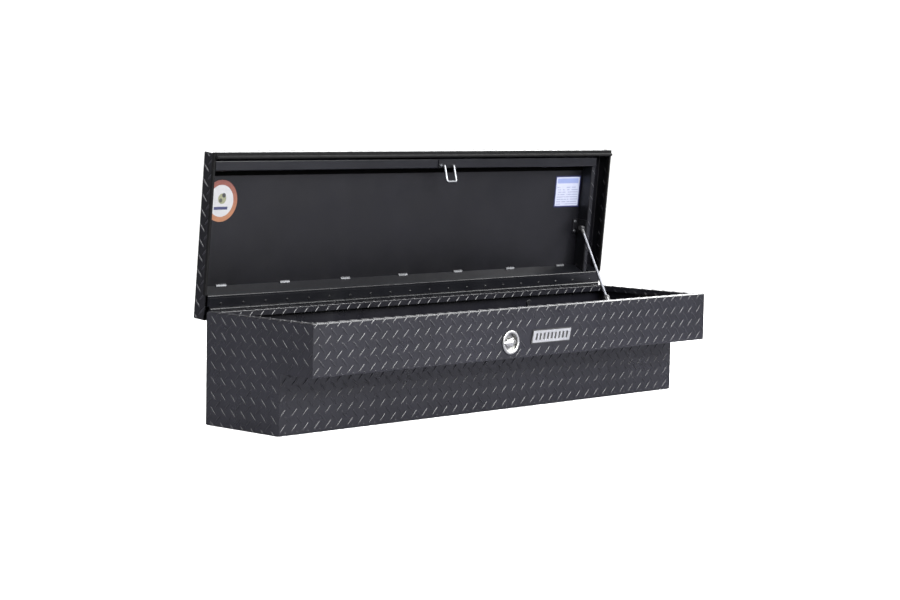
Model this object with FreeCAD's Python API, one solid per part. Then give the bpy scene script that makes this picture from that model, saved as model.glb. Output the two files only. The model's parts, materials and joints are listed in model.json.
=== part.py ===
"""Truck tool box: L-shaped tread-plate body, hinged pan lid, gas strut and folding-handle lock.

Millimetres. The origin is the centre of the bottom face, +X runs along the box, +Y points to the hinge
side and +Z up. The lid is drawn closed and then swung open about the hinge, which is how it is stored.
Each sub-part is a function that returns one shape, and export() writes it to parts/NAME.step.
"""
import FreeCAD, Part
import math
import os
from FreeCAD import Vector

# ---------------------------------------------------------------- driving dimensions
LENGTH = 1820.0            # body, outside
DEPTH = 470.0              # lip front to back wall, outside
HEIGHT = 342.0             # bottom to rim
LIP_HEIGHT = 158.0         # front wall of the overhanging lip
NOTCH = 141.0              # set-back of the lower front wall
SHEET = 2.0                # tread plate thickness, without its lugs
BEND = 4.0                 # outer radius of a bend
RIM = 25.0                 # width of the bent-in rim
RIM_LIP = 20.0             # turned-down lip on the rim's inner edge

LID_SIDE = 4.5             # lid overhang at each end
LID_FRONT = 3.0            # lid overhang at the front
LID_BACK = 33.0            # lid overhang behind the back wall
LID_GAP = 14.0             # rim to the lid's lower edge when closed
LID_FLANGE = 48.0          # depth of the lid pan
LID_HEM = 18.0             # width of the flat-folded hem inside each flange
LID_OPEN = 84.8            # stored opening angle, degrees

HINGE_INSET = 1.0          # hinge axis in front of the back wall's outer face
HINGE_RISE = 5.0           # hinge axis above the rim
KNUCKLE_R = 4.7
HINGE_PIN_R = 2.5
KNUCKLE_BORE_R = 2.55
KNUCKLE_PITCH = 40.0
KNUCKLE_LENGTH = 39.0
LEAF = 1.8
BOX_LEAF_REACH = 24.0      # from the axis to the leaf's free edge
LID_LEAF_REACH = 33.0
HINGE_HALF = 900.0         # half length of the hinge
RIVET_PITCH = 90.0
RIVET_R = 2.4

LOCK_X = -70.0             # lock axis on the lip's front wall
LOCK_Z = 235.6
LOCK_FLANGE_R = 38.0
CRANK = 9.0                # eccentricity of the link pin on the spindle
HOOK_X = 88.0              # hook pivot
HOOK_Z = 291.0
HOOK_Y = -237.5            # middle of the hook plate
HOOK_THICK = 6.0
LINK_R = 2.5
FIT = 0.05                 # radial running clearance

STRUT_X = 809.0            # plane of the gas strut
STRUT_FOOT_Y = -87.5
STRUT_FOOT_Z = 47.6
STRUT_HEAD_Y = -34.5       # upper ball, with the lid closed
STRUT_HEAD_Z = 369.0
CYLINDER_R = 11.0
ROD_R = 5.0
SOCKET_R = 8.0
BALL_R = 5.0

# ---------------------------------------------------------------- derived places
X_END = LENGTH / 2
Y_BACK = (DEPTH - NOTCH) / 2
Y_LOW_FRONT = -Y_BACK
Y_FRONT = Y_BACK - DEPTH
SHELF_Z = HEIGHT - LIP_HEIGHT
HINGE_Y = Y_BACK - HINGE_INSET
HINGE_Z = HEIGHT + HINGE_RISE
LID_Z = HEIGHT + LID_GAP               # lower edge of the closed lid
LID_TOP = LID_Z + LID_FLANGE
SKIN_Z = LID_TOP - SHEET               # underside of the lid's skin
LID_X = X_END + LID_SIDE
LID_Y0 = Y_FRONT - LID_FRONT
LID_Y1 = Y_BACK + LID_BACK
CHANNEL_BASE_Z = HINGE_Z + HINGE_RISE  # underside of the hinge channel, on the lid leaf
HANDLE_TURN = 90.0
PIN_RAISE = CRANK * (1 + math.cos(math.radians(HANDLE_TURN / 2))) / 2
HOOK_LEVER = HOOK_Z - LOCK_Z - PIN_RAISE
HOOK_TURN = 2 * math.degrees(math.asin(CRANK * math.sin(math.radians(HANDLE_TURN / 2)) / HOOK_LEVER))

X_AXIS = Vector(1, 0, 0)
Y_AXIS = Vector(0, 1, 0)
Z_AXIS = Vector(0, 0, 1)


# ---------------------------------------------------------------- helpers
def box(x0, x1, y0, y1, z0, z1):
    return Part.makeBox(x1 - x0, y1 - y0, z1 - z0, Vector(x0, y0, z0))


def rod(start, axis, radius, length):
    return Part.makeCylinder(radius, length, start, axis)


def fuse(shapes):
    return shapes[0].multiFuse(shapes[1:]).removeSplitter() if len(shapes) > 1 else shapes[0]


def group(shapes):
    return Part.makeCompound(shapes)


def profile(points, radii, place):
    """Closed planar face through the 2-D points, with each corner rounded to its radius."""
    corners = [place(*point) for point in points]
    edges = []
    starts = []
    ends = []
    for index, corner in enumerate(corners):
        before = (corners[index - 1] - corner).normalize()
        after = (corners[(index + 1) % len(corners)] - corner).normalize()
        radius = radii[index]
        if radius <= 0:
            starts.append(corner)
            ends.append(corner)
            continue
        half = before.getAngle(after) / 2
        reach = radius / math.tan(half)
        first = corner + before * reach
        last = corner + after * reach
        inward = (before + after).normalize()
        middle = corner + inward * (radius / math.sin(half) - radius)
        edges.append(Part.Arc(first, middle, last).toShape())
        starts.append(first)
        ends.append(last)
    for index, end in enumerate(ends):
        following = starts[(index + 1) % len(starts)]
        if end.distanceToPoint(following) > 1e-6:
            edges.append(Part.LineSegment(end, following).toShape())
    return Part.Face(Part.Wire(Part.__sortEdges__(edges)))


def left_offset(path, distance):
    """The open 2-D path moved to its left by distance."""
    moved = []
    for index, (u, v) in enumerate(path):
        normals = []
        for first, second in ((index - 1, index), (index, index + 1)):
            if 0 <= first and second < len(path):
                du = path[second][0] - path[first][0]
                dv = path[second][1] - path[first][1]
                size = math.hypot(du, dv)
                normals.append((-dv / size, du / size))
        if len(normals) == 1:
            normals = normals * 2
        (a, b), (c, d) = normals
        share = distance / (1 + a * c + b * d)
        moved.append((u + (a + c) * share, v + (b + d) * share))
    return moved


def bent_sheet(path, thickness, bend, place, sweep):
    """Sheet whose outer face follows the path; its thickness lies on the path's left."""
    outer = [0.0]
    inner = [0.0]
    for before, corner, after in zip(path, path[1:], path[2:]):
        turn = (corner[0] - before[0]) * (after[1] - corner[1]) - (corner[1] - before[1]) * (after[0] - corner[0])
        outer.append(bend if turn > 0 else bend - thickness)
        inner.append(bend - thickness if turn > 0 else bend)
    outer.append(0.0)
    inner.append(0.0)
    points = list(path) + left_offset(path, thickness)[::-1]
    return profile(points, outer + inner[::-1], place).extrude(sweep)


def bent_rod(points, radius, bend):
    """Round rod along straight runs joined by tangent arcs."""
    edges = []
    start = points[0]
    for before, corner, after in zip(points, points[1:], points[2:]):
        back = (before - corner).normalize()
        onward = (after - corner).normalize()
        half = back.getAngle(onward) / 2
        first = corner + back * (bend / math.tan(half))
        last = corner + onward * (bend / math.tan(half))
        middle = corner + (back + onward).normalize() * (bend / math.sin(half) - bend)
        edges.append(Part.LineSegment(start, first).toShape())
        edges.append(Part.Arc(first, middle, last).toShape())
        start = last
    edges.append(Part.LineSegment(start, points[-1]).toShape())
    section = Part.Wire(Part.makeCircle(radius, points[0], points[1] - points[0]))
    return Part.Wire(edges).makePipeShell([section], True, True)


def revolved(points, centre, axis, across):
    """Solid of revolution: points are (radius, distance along the axis) pairs."""
    corners = [centre + across * radius + axis * along for radius, along in points]
    return Part.Face(Part.makePolygon(corners + corners[:1])).revolve(centre, axis, 360)


def rivet(head_point, inward, grip):
    """Domed rivet: its head stands on head_point and its shank runs inward through the grip."""
    head = Part.makeCone(1.9 * RIVET_R, 1.2 * RIVET_R, 1.6, head_point, inward * -1)
    shank = rod(head_point, inward, RIVET_R, grip)
    tail = Part.makeCone(1.5 * RIVET_R, 1.2 * RIVET_R, 1.8, head_point + inward * grip, inward)
    return fuse([head, shank, tail])


def hexagon(centre, axis, across_flats, thickness, bore):
    turn = FreeCAD.Rotation(Z_AXIS, axis)
    size = across_flats / math.sqrt(3)
    corners = [Vector(size * math.cos(math.radians(60 * k)), size * math.sin(math.radians(60 * k)), 0)
               for k in range(7)]
    corners = [centre + turn.multVec(corner) for corner in corners]
    nut = Part.Face(Part.makePolygon(corners)).extrude(axis * thickness)
    return nut.cut(rod(centre, axis, bore, thickness)) if bore > 0 else nut


def opened(shape):
    """A lid piece, turned from its closed place to the stored open one."""
    moved = shape.copy()
    moved.rotate(Vector(0, HINGE_Y, HINGE_Z), X_AXIS, -LID_OPEN)
    return moved


def on_yz(x):
    return lambda y, z: Vector(x, y, z)


def on_xz(y):
    return lambda x, z: Vector(x, y, z)


def on_xy(z):
    return lambda x, y: Vector(x, y, z)


# ---------------------------------------------------------------- body
def body_outline(inset, x):
    """Face with the body's L-shaped outline, drawn inset from the outside."""
    points = [(Y_FRONT + inset, HEIGHT - inset), (Y_FRONT + inset, SHELF_Z + inset),
              (Y_LOW_FRONT + inset, SHELF_Z + inset), (Y_LOW_FRONT + inset, inset),
              (Y_BACK - inset, inset), (Y_BACK - inset, HEIGHT - inset)]
    outside = max(BEND - inset, 0.5)
    radii = [outside, outside, BEND - SHEET + inset, outside, outside, outside]
    return profile(points, radii, on_yz(x))


def corner_wedge(end_side, front, keep_end):
    """Plan triangle at a rim corner that belongs to the wrap or to the end plate, for the mitre."""
    reach = RIM + 2
    if keep_end:
        plan = [(0, 0), (0, reach), (reach, reach)]
    else:
        plan = [(SHEET, -1), (SHEET, SHEET), (reach, reach), (reach, -1)]
    corners = []
    for from_end, from_face in plan:
        y = Y_FRONT + from_face if front else Y_BACK - from_face
        corners.append(Vector(end_side * (X_END - from_end), y, HEIGHT - RIM_LIP - 1))
    return Part.Face(Part.makePolygon(corners + corners[:1])).extrude(Vector(0, 0, RIM_LIP + 3))


def hinge_rivet_places():
    count = int(2 * HINGE_HALF / RIVET_PITCH)
    return [-HINGE_HALF + RIVET_PITCH * (k + 0.5) for k in range(count)]


def floor_rivet_places():
    return [(x, STRUT_FOOT_Y + dy) for x in (838.0, 860.0) for dy in (-15.0, 15.0)]


NAMEPLATE_STUDS = ((70.0, 246.5), (170.0, 246.5))


def body_wrap():
    """One bent sheet: front rim, lip, shelf, lower front wall, bottom, back wall and back rim."""
    path = [(Y_FRONT + RIM, HEIGHT - RIM_LIP), (Y_FRONT + RIM, HEIGHT), (Y_FRONT, HEIGHT),
            (Y_FRONT, SHELF_Z), (Y_LOW_FRONT, SHELF_Z), (Y_LOW_FRONT, 0), (Y_BACK, 0),
            (Y_BACK, HEIGHT), (Y_BACK - RIM, HEIGHT), (Y_BACK - RIM, HEIGHT - RIM_LIP)]
    half = X_END - SHEET
    wrap = bent_sheet(path, SHEET, BEND, on_yz(-half), Vector(2 * half, 0, 0))
    cuts = [corner_wedge(side, front, True) for side in (-1, 1) for front in (True, False)]
    cuts.append(rod(Vector(LOCK_X, Y_FRONT - 1, LOCK_Z), Y_AXIS, 31.0, SHEET + 2))
    cuts += [rod(Vector(x, Y_FRONT - 1, z), Y_AXIS, 1.5, SHEET + 2) for x, z in NAMEPLATE_STUDS]
    cuts += [rod(Vector(x, HINGE_Y - 15, HEIGHT - SHEET - 1), Z_AXIS, RIVET_R, SHEET + 2)
             for x in hinge_rivet_places()]
    cuts += [rod(Vector(x, y, -1), Z_AXIS, RIVET_R, SHEET + 2) for x, y in floor_rivet_places()]
    return wrap.cut(cuts)


def end_plate(side):
    """Flat L-shaped end plate with its own bent-in rim, mitred into the wrap's rims."""
    path = [(-X_END + RIM, HEIGHT - RIM_LIP), (-X_END + RIM, HEIGHT), (-X_END, HEIGHT), (-X_END, SHELF_Z)]
    upper = bent_sheet(path, SHEET, BEND, on_xz(Y_FRONT), Vector(0, DEPTH, 0))
    lower = box(-X_END, -X_END + SHEET, Y_LOW_FRONT, Y_BACK, 0, SHELF_Z)
    outline = body_outline(0, -X_END).extrude(Vector(RIM + 1, 0, 0))
    plate = fuse([upper, lower]).common(outline)
    plate = plate.cut([corner_wedge(-1, front, False) for front in (True, False)])
    return plate if side < 0 else plate.mirror(Vector(0, 0, 0), X_AXIS)


def corner_weld(side):
    """Bead along the inside of the joint between the wrap and an end plate."""
    bead = 2.2
    x = -X_END + SHEET
    ring = body_outline(SHEET, x).cut(body_outline(SHEET + bead, x))
    weld = ring.extrude(Vector(bead, 0, 0))
    weld = weld.cut(box(x - 1, x + bead + 1, Y_FRONT, Y_BACK, HEIGHT - RIM_LIP - 5, HEIGHT))
    return weld if side < 0 else weld.mirror(Vector(0, 0, 0), X_AXIS)


# ---------------------------------------------------------------- hinge
def knuckle_starts(first):
    count = int(2 * HINGE_HALF / KNUCKLE_PITCH)
    return [-HINGE_HALF + KNUCKLE_PITCH * k for k in range(first, count, 2)]


def hinge_leaf(first, reach, z0):
    """Leaf with every second knuckle; z0 is the leaf's lower face."""
    near = KNUCKLE_R + 0.8
    pieces = [box(-HINGE_HALF, HINGE_HALF, HINGE_Y - reach, HINGE_Y - near, z0, z0 + LEAF)]
    for x in knuckle_starts(first):
        pieces.append(box(x, x + KNUCKLE_LENGTH, HINGE_Y - near, HINGE_Y, z0, z0 + LEAF))
        pieces.append(rod(Vector(x, HINGE_Y, HINGE_Z), X_AXIS, KNUCKLE_R, KNUCKLE_LENGTH))
    bore = rod(Vector(-HINGE_HALF - 1, HINGE_Y, HINGE_Z), X_AXIS, KNUCKLE_BORE_R, 2 * HINGE_HALF + 2)
    holes = [rod(Vector(x, HINGE_Y - 15, z0 - 1), Z_AXIS, RIVET_R, LEAF + 2) for x in hinge_rivet_places()]
    return fuse(pieces).cut([bore] + holes)


def box_hinge_leaf():
    return hinge_leaf(0, BOX_LEAF_REACH, HEIGHT)


def lid_hinge_leaf():
    return hinge_leaf(1, LID_LEAF_REACH, CHANNEL_BASE_Z - LEAF)


def hinge_pin():
    return rod(Vector(-HINGE_HALF, HINGE_Y, HINGE_Z), X_AXIS, HINGE_PIN_R, 2 * HINGE_HALF)


def box_hinge_rivets():
    return group([rivet(Vector(x, HINGE_Y - 15, HEIGHT + LEAF), Z_AXIS * -1, LEAF + SHEET)
                  for x in hinge_rivet_places()])


def lid_hinge_rivets():
    return group([rivet(Vector(x, HINGE_Y - 15, CHANNEL_BASE_Z - LEAF), Z_AXIS, LEAF + SHEET)
                  for x in hinge_rivet_places()])


# ---------------------------------------------------------------- lid
def lid_pan():
    """Skin with four flanges, each ending in a hem that is folded flat against its inside."""
    size = (2 * LID_X, LID_Y1 - LID_Y0, LID_FLANGE + BEND)
    outer = Part.makeBox(*size, Vector(-LID_X, LID_Y0, LID_Z - BEND))
    outer = outer.makeFillet(BEND, outer.Edges)
    inner = Part.makeBox(size[0] - 2 * SHEET, size[1] - 2 * SHEET, size[2],
                         Vector(-LID_X + SHEET, LID_Y0 + SHEET, LID_Z - BEND - SHEET))
    inner = inner.makeFillet(BEND - SHEET, inner.Edges)
    below = box(-LID_X - 1, LID_X + 1, LID_Y0 - 1, LID_Y1 + 1, LID_Z - BEND - 3, LID_Z)
    shell = outer.cut([inner, below])
    hem_out = box(-LID_X + SHEET, LID_X - SHEET, LID_Y0 + SHEET, LID_Y1 - SHEET, LID_Z, LID_Z + LID_HEM)
    hem_in = box(-LID_X + 2 * SHEET, LID_X - 2 * SHEET, LID_Y0 + 2 * SHEET, LID_Y1 - 2 * SHEET,
                 LID_Z - 1, LID_Z + LID_HEM + 1)
    holes = [rod(Vector(x, y, SKIN_Z - 1), Z_AXIS, BOLT_R, SHEET + 2) for x, y in bracket_bolt_places()]
    return fuse([shell, hem_out.cut(hem_in)]).cut(holes)


FRONT_CHANNEL_Y = Y_BACK - 450.0       # front web of the front channel
FRONT_CHANNEL_WIDTH = 32.0
FRONT_CHANNEL_FOOT = 15.0
HINGE_CHANNEL_Y = Y_BACK - 42.0        # front edge of the hinge channel's face
HINGE_CHANNEL_WIDTH = 34.0
HINGE_CHANNEL_LEAN = 20.0              # slant of its front web, from the face out to the skin
STRUT_CHANNEL_X = 823.0                # inner web of the strut channel
STRUT_CHANNEL_WIDTH = 19.0
CHANNEL_END = 905.0


def strut_channel_zone():
    return box(STRUT_CHANNEL_X - 0.3, STRUT_CHANNEL_X + STRUT_CHANNEL_WIDTH + 12.3,
               FRONT_CHANNEL_Y + FRONT_CHANNEL_WIDTH + 0.3, HINGE_CHANNEL_Y - 0.3, LID_Z - 5, SKIN_Z)


def front_channel():
    """Hat-section stiffener along the lid's free edge, its feet flat on the skin."""
    web = FRONT_CHANNEL_Y
    back = web + FRONT_CHANNEL_WIDTH
    foot_z = SKIN_Z - SHEET
    path = [(web - 12, foot_z), (web, foot_z), (web, LID_Z), (back, LID_Z), (back, foot_z),
            (back + FRONT_CHANNEL_FOOT, foot_z)]
    length = CHANNEL_END + STRUT_CHANNEL_X + STRUT_CHANNEL_WIDTH
    channel = bent_sheet(path, SHEET, BEND, on_yz(-CHANNEL_END), Vector(length, 0, 0))
    holes = [rod(Vector(x, STRIKER_ROOT_Y, LID_Z - 1), Z_AXIS, STRIKER_R, SHEET + 2) for x in STRIKER_LEGS]
    holes.append(rod(Vector(STRIKER_SCREW_X, STRIKER_ROOT_Y, LID_Z - 1), Z_AXIS, BOLT_R, SHEET + 2))
    return channel.cut([strut_channel_zone()] + holes)


def front_channel_sealant():
    """Black bead that bonds and seals the front channel's rear foot to the skin."""
    foot = FRONT_CHANNEL_Y + FRONT_CHANNEL_WIDTH + FRONT_CHANNEL_FOOT
    face = SKIN_Z - SHEET
    section = [(foot - 11, face), (foot, face), (foot, SKIN_Z), (foot + 5, SKIN_Z), (foot + 3, face - 0.8),
               (foot - 8, face - 1.6)]
    bead = profile(section, [0] * 6, on_yz(-CHANNEL_END))
    return bead.extrude(Vector(CHANNEL_END + STRUT_CHANNEL_X - 1, 0, 0))


def hinge_channel():
    """Stiffener along the hinge: slanted front web welded to the skin, face on the hinge leaf, back foot."""
    web = HINGE_CHANNEL_Y
    back = web + HINGE_CHANNEL_WIDTH
    rise = SKIN_Z - CHANNEL_BASE_Z
    past = 0.1
    path = [(web - (1 + past) * HINGE_CHANNEL_LEAN, SKIN_Z + past * rise), (web, CHANNEL_BASE_Z),
            (back, CHANNEL_BASE_Z), (back, SKIN_Z - SHEET), (back + 15, SKIN_Z - SHEET)]
    channel = bent_sheet(path, SHEET, BEND, on_yz(-CHANNEL_END), Vector(2 * CHANNEL_END, 0, 0))
    channel = channel.cut(box(-CHANNEL_END, CHANNEL_END, web - 40, back, SKIN_Z, SKIN_Z + 20))
    holes = [rod(Vector(x, HINGE_Y - 15, CHANNEL_BASE_Z - 1), Z_AXIS, RIVET_R, SHEET + 2)
             for x in hinge_rivet_places()]
    return channel.cut([strut_channel_zone()] + holes)


def strut_channel():
    """Channel across the lid's right end: inner web, face, outer web and one foot."""
    x0 = STRUT_CHANNEL_X
    x1 = x0 + STRUT_CHANNEL_WIDTH
    y0 = FRONT_CHANNEL_Y + FRONT_CHANNEL_WIDTH + 0.5
    path = [(x0, SKIN_Z), (x0, LID_Z), (x1, LID_Z), (x1, SKIN_Z - SHEET), (x1 + 12, SKIN_Z - SHEET)]
    return bent_sheet(path, SHEET, BEND, on_xz(y0), Vector(0, HINGE_CHANNEL_Y - 0.5 - y0, 0))


def channel_stitch_welds():
    """Seven short fillet beads where the hinge channel's slanted web meets the skin."""
    root = HINGE_CHANNEL_Y - HINGE_CHANNEL_LEAN
    climb = 0.1
    section = [(root - 5.0, SKIN_Z), (root, SKIN_Z),
               (root + climb * HINGE_CHANNEL_LEAN, SKIN_Z - climb * (SKIN_Z - CHANNEL_BASE_Z)),
               (root - 2.5, SKIN_Z - 3.2)]
    return group([profile(section, [0] * 4, on_yz(-836.0 + 260.5 * k)).extrude(Vector(40, 0, 0))
                  for k in range(7)])


def weather_seal():
    """Edge trim that grips the hem at the front and both ends; its front run carries a hanging bulb."""
    grip = 1.5
    wide = LID_X + grip
    back = HINGE_CHANNEL_Y - 1.0
    outer = box(-wide, wide, LID_Y0 - grip, back, LID_Z - 2, LID_Z + 7)
    inset = 2 * SHEET + grip
    hollow = box(-LID_X + inset, LID_X - inset, LID_Y0 + inset, back + 1, LID_Z - 3, LID_Z + 8)
    slot = box(-LID_X, LID_X, LID_Y0, back + 1, LID_Z, LID_Z + 8)
    slot = slot.cut(box(-LID_X + 2 * SHEET, LID_X - 2 * SHEET, LID_Y0 + 2 * SHEET, back + 2,
                        LID_Z - 1, LID_Z + 9))
    bulb_r = 5.5
    bulb_y = LID_Y0 + 13.0
    half = LID_X - 5.0
    bulb = rod(Vector(-half, bulb_y, LID_Z - 7), X_AXIS, bulb_r, 2 * half)
    neck = box(-half, half, LID_Y0 + 2, bulb_y, LID_Z - 4, LID_Z - 1.8)
    return fuse([outer.cut([hollow, slot]), neck, bulb])


# ---------------------------------------------------------------- striker
STRIKER_R = 4.0
STRIKER_LEGS = (67.0, 110.0)
STRIKER_SCREW_X = 54.0
STRIKER_ROOT_Y = Y_BACK - 429.0
STRIKER_BAR_Y = Y_BACK - 377.0
STRIKER_DROP = 18.0                    # the loop's bar below its root bend
PLATE = 3.0
BOLT_R = 3.0


def striker_loop():
    """Bent rod: two legs up through the channel, sloping to a bar that runs along the lid."""
    root_z = LID_Z - PLATE - STRIKER_R
    left, right = STRIKER_LEGS
    points = [Vector(left, STRIKER_ROOT_Y, LID_Z + 12), Vector(left, STRIKER_ROOT_Y, root_z),
              Vector(left, STRIKER_BAR_Y, root_z - STRIKER_DROP),
              Vector(right, STRIKER_BAR_Y, root_z - STRIKER_DROP),
              Vector(right, STRIKER_ROOT_Y, root_z), Vector(right, STRIKER_ROOT_Y, LID_Z + 12)]
    return bent_rod(points, STRIKER_R, 6.0)


def striker_plate():
    plate = box(44.0, 122.0, FRONT_CHANNEL_Y + 3, FRONT_CHANNEL_Y + 29, LID_Z - PLATE, LID_Z)
    holes = [rod(Vector(x, STRIKER_ROOT_Y, LID_Z - PLATE - 1), Z_AXIS, STRIKER_R, PLATE + 2)
             for x in STRIKER_LEGS]
    holes.append(rod(Vector(STRIKER_SCREW_X, STRIKER_ROOT_Y, LID_Z - PLATE - 1), Z_AXIS, BOLT_R, PLATE + 2))
    return plate.cut(holes).cut(striker_loop())


def striker_nuts():
    return group([hexagon(Vector(x, STRIKER_ROOT_Y, LID_Z + SHEET), Z_AXIS, 13.0, 6.0, STRIKER_R)
                  for x in STRIKER_LEGS])


def striker_screw():
    head = Part.makeCone(4.0, 5.5, 3.5, Vector(STRIKER_SCREW_X, STRIKER_ROOT_Y, LID_Z - PLATE - 3.5), Z_AXIS)
    shank = rod(Vector(STRIKER_SCREW_X, STRIKER_ROOT_Y, LID_Z - PLATE), Z_AXIS, BOLT_R, 14.0)
    return fuse([head, shank])


# ---------------------------------------------------------------- strut and its brackets
def bracket_bolt_places():
    return [(806.0, STRUT_HEAD_Y - 19.0), (806.0, STRUT_HEAD_Y + 15.0)]


def upper_strut_bracket():
    """Folded bracket in the corner between the strut channel's web and the skin."""
    x1 = STRUT_CHANNEL_X
    y0 = STRUT_HEAD_Y - 27.0
    web_leg = box(x1 - PLATE, x1, y0, y0 + 50, LID_Z + 4, SKIN_Z)
    skin_leg = box(x1 - 28, x1, y0, y0 + 50, SKIN_Z - PLATE, SKIN_Z)
    holes = [rod(Vector(x, y, SKIN_Z - PLATE - 1), Z_AXIS, BOLT_R, PLATE + 2) for x, y in bracket_bolt_places()]
    return fuse([web_leg, skin_leg]).cut(holes)


def upper_bracket_bolts():
    bolts = []
    for x, y in bracket_bolt_places():
        head = Part.makeCone(4.0, 5.5, 3.5, Vector(x, y, SKIN_Z - PLATE - 3.5), Z_AXIS)
        shank = rod(Vector(x, y, SKIN_Z - PLATE), Z_AXIS, BOLT_R, PLATE + SHEET)
        cap = Part.makeCone(6.0, 4.0, 2.0, Vector(x, y, LID_TOP), Z_AXIS)
        bolts.append(fuse([head, shank, cap]))
    return group(bolts)


def lower_strut_bracket():
    """Angle bracket on the box floor; its upright carries the lower ball stud."""
    x0 = STRUT_X + 13.0
    y0 = STRUT_FOOT_Y - 25.0
    upright = box(x0, x0 + PLATE, y0, y0 + 50, SHEET, STRUT_FOOT_Z + 14)
    base = box(x0, x0 + 50, y0, y0 + 50, SHEET, SHEET + PLATE)
    holes = [rod(Vector(x, y, SHEET - 1), Z_AXIS, RIVET_R, PLATE + 2) for x, y in floor_rivet_places()]
    holes.append(rod(Vector(x0 - 1, STRUT_FOOT_Y, STRUT_FOOT_Z), X_AXIS, 3.0, PLATE + 2))
    return fuse([upright, base]).cut(holes)


def lower_bracket_rivets():
    """Rivets through the floor, their tails flush with the bottom face."""
    rivets = []
    for x, y in floor_rivet_places():
        head = Part.makeCone(1.2 * RIVET_R, 1.9 * RIVET_R, 1.6, Vector(x, y, SHEET + PLATE + 1.6), Z_AXIS * -1)
        rivets.append(fuse([head, rod(Vector(x, y, 0), Z_AXIS, RIVET_R, SHEET + PLATE)]))
    return group(rivets)


def ball_stud(centre, seat, thread):
    """Ball on a shank along +X, with a hexagon flange that ends at the distance seat."""
    shank_r = 3.0
    neck = math.sqrt(BALL_R ** 2 - shank_r ** 2)
    end = seat + thread
    pole = centre - X_AXIS * BALL_R
    throat = centre + X_AXIS * neck + Z_AXIS * shank_r
    edges = [Part.Arc(pole, centre + Z_AXIS * BALL_R, throat).toShape(),
             Part.makeLine(throat, centre + X_AXIS * end + Z_AXIS * shank_r),
             Part.makeLine(centre + X_AXIS * end + Z_AXIS * shank_r, centre + X_AXIS * end),
             Part.makeLine(centre + X_AXIS * end, pole)]
    stud = Part.Face(Part.Wire(edges)).revolve(centre, X_AXIS, 360)
    flange = hexagon(centre + X_AXIS * (seat - 3.0), X_AXIS, 11.0, 3.0, 0)
    return fuse([stud, flange])


def strut_foot():
    return Vector(STRUT_X, STRUT_FOOT_Y, STRUT_FOOT_Z)


def strut_head_open():
    closed = Part.Vertex(STRUT_X, STRUT_HEAD_Y, STRUT_HEAD_Z)
    return opened(closed).Point


def strut_length():
    return strut_head_open().distanceToPoint(strut_foot())


def along_strut(shape):
    """A strut piece drawn upright from the lower ball, tilted onto the stored strut line."""
    line = strut_head_open() - strut_foot()
    moved = shape.copy()
    moved.rotate(Vector(0, 0, 0), X_AXIS, -math.degrees(math.atan2(line.y, line.z)))
    moved.translate(strut_foot())
    return moved


CYLINDER_START = 20.0
CYLINDER_LENGTH = 280.0
BORE_R = 9.5
ROD_TAIL = 298.0                       # from the upper ball down to the piston


def socket(height):
    """End fitting: round housing about the ball, open towards the stud."""
    ball_r = BALL_R + FIT
    throat_r = 3.0 + 6 * FIT
    mouth = SOCKET_R - 2
    corners = [(-ball_r, 0), (-SOCKET_R, 0), (-SOCKET_R, SOCKET_R), (mouth, SOCKET_R), (mouth, throat_r),
               (math.sqrt(ball_r ** 2 - throat_r ** 2), throat_r)]
    corners = [Vector(x, 0, height + r) for x, r in corners]
    edges = [Part.makeLine(first, last) for first, last in zip(corners, corners[1:])]
    edges.append(Part.Arc(corners[-1], Vector(0, 0, height + ball_r), corners[0]).toShape())
    return Part.Face(Part.Wire(edges)).revolve(Vector(0, 0, height), X_AXIS, 360)


def cylinder_socket():
    neck = rod(Vector(0, 0, SOCKET_R - 2), Z_AXIS, 5.5, CYLINDER_START - SOCKET_R + 2)
    return along_strut(fuse([socket(0), neck]))


def strut_cylinder():
    tube = rod(Vector(0, 0, CYLINDER_START), Z_AXIS, CYLINDER_R, CYLINDER_LENGTH - 8)
    bore = rod(Vector(0, 0, CYLINDER_START + 3), Z_AXIS, BORE_R, CYLINDER_LENGTH)
    return along_strut(tube.cut(bore))


def strut_gland():
    """Seal and guide ring that closes the cylinder round the rod."""
    top = CYLINDER_START + CYLINDER_LENGTH
    cap = Part.makeCone(CYLINDER_R, CYLINDER_R - 2, 8.0, Vector(0, 0, top - 8), Z_AXIS)
    plug = rod(Vector(0, 0, top - 20), Z_AXIS, BORE_R, 12.0)
    return along_strut(fuse([cap, plug]).cut(rod(Vector(0, 0, top - 21), Z_AXIS, ROD_R + FIT, 22.0)))


def strut_rod():
    head = strut_length()
    start = head - ROD_TAIL
    return along_strut(rod(Vector(0, 0, start), Z_AXIS, ROD_R, head - SOCKET_R - 6 - start))


def strut_piston():
    bottom = strut_length() - ROD_TAIL
    disc = rod(Vector(0, 0, bottom), Z_AXIS, BORE_R - FIT, 8.0)
    return along_strut(disc.cut(rod(Vector(0, 0, bottom - 1), Z_AXIS, ROD_R, 10.0)))


def rod_socket():
    head = strut_length()
    neck = rod(Vector(0, 0, head - SOCKET_R - 14), Z_AXIS, 6.0, 15.0)
    bore = rod(Vector(0, 0, head - SOCKET_R - 15), Z_AXIS, ROD_R, 9.0)
    return along_strut(fuse([socket(head), neck.cut(bore)]))


def upper_ball_stud():
    """Stud of the upper ball; it stands just clear of the bracket's seat."""
    seat = STRUT_CHANNEL_X - PLATE - STRUT_X - 0.5
    return ball_stud(strut_head_open(), seat, 0.0)


def lower_ball_stud():
    return ball_stud(strut_foot(), 13.0, PLATE + 6.0)


def stud_nut():
    return hexagon(strut_foot() + X_AXIS * (13.0 + PLATE), X_AXIS, 10.0, 5.0, 3.0 + FIT)


# ---------------------------------------------------------------- lock
HEAD_R = 28.7                          # turning head in the dish
BOWL_R = 29.0
SHAFT_R = 8.0
FOLD_U = 6.0                           # fold pin, right of the lock axis
FOLD_V = 2.0                           # fold pin, behind the panel face
FOLD_R = 2.0
BARREL_R = 5.0
KEY_U = 20.0
KEY_R = 6.5


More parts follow.
